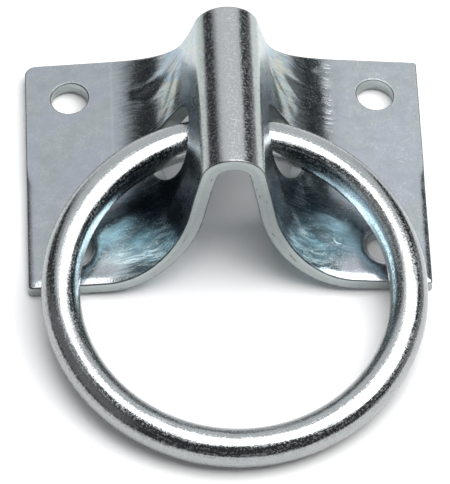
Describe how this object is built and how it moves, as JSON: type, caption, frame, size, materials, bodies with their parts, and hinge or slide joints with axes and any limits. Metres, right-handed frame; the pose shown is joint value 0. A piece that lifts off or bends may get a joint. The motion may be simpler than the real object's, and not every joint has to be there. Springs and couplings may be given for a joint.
{
  "type": "ring pad eye",
  "caption": "Pressed steel plate with a raised ridge that holds a swinging welded wire ring, for tying a line to a flat surface.",
  "frame": {"origin": "centre of the four screw holes on the mounting plane, under the middle of the ridge", "axes": "+X across the ridge from wall to wall, +Y along the ridge away from the resting ring, +Z out from the mounting plane towards the ridge's crown"},
  "size_m": [0.067, 0.081, 0.0279],
  "materials": {
    "plate_zinc": "bright zinc plating over pressed sheet steel, satin on the flanges, streaked in the drawn fillets, sheared edges",
    "ring_zinc": "bright zinc plating over drawn round wire, fine lines along the wire"
  },
  "bodies": {
    "plate": {"base_plate": "plate_zinc"},
    "ring": {"ring": "ring_zinc"}
  },
  "joints": [
    {"name": "ring_swing", "type": "hinge", "parent": "plate", "child": "ring", "pos_m": [0, 0.0004, 0.0108], "axis": [-1, 0, 0], "range_deg": [0, 195.6]}
  ]
}
